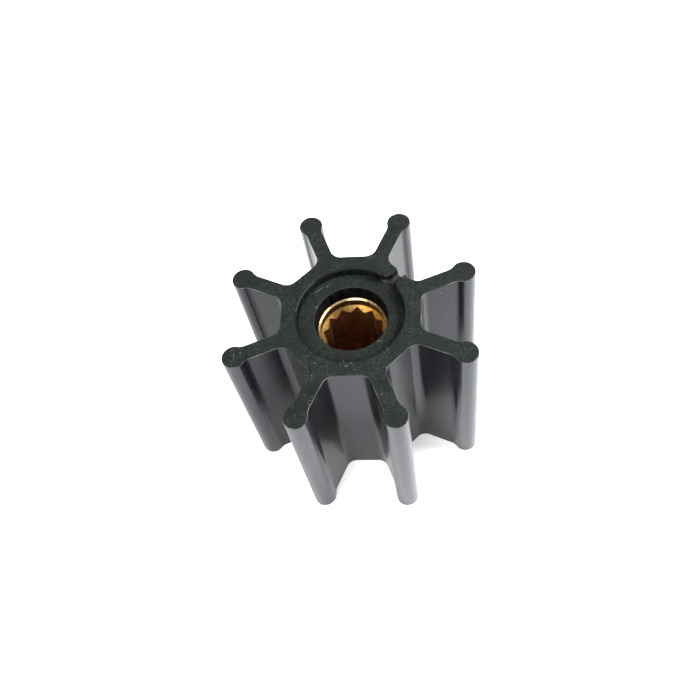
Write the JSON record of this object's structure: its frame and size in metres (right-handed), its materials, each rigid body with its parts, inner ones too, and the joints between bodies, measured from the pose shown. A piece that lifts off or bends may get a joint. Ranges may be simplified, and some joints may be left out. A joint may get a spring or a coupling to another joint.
{
  "type": "rubber pump impeller",
  "caption": "Flexible pump impeller: a rubber hub with straight beaded blades, moulded round a splined bronze bush that slides on the pump shaft.",
  "frame": {"origin": "centre of the lower end face, on the shaft axis", "axes": "+Z along the shaft axis towards the end face with the open gate channel, +X along the middle of one blade"},
  "size_m": [0.065, 0.065, 0.0494],
  "materials": {
    "rubber": "dark moulded rubber, matt on the end faces and satin on the blades",
    "bronze": "machined bronze, bright on the rim and lead-in, dark inside"
  },
  "bodies": {
    "root": {"rubber_body": "rubber", "spline_insert": "bronze"}
  },
  "joints": []
}
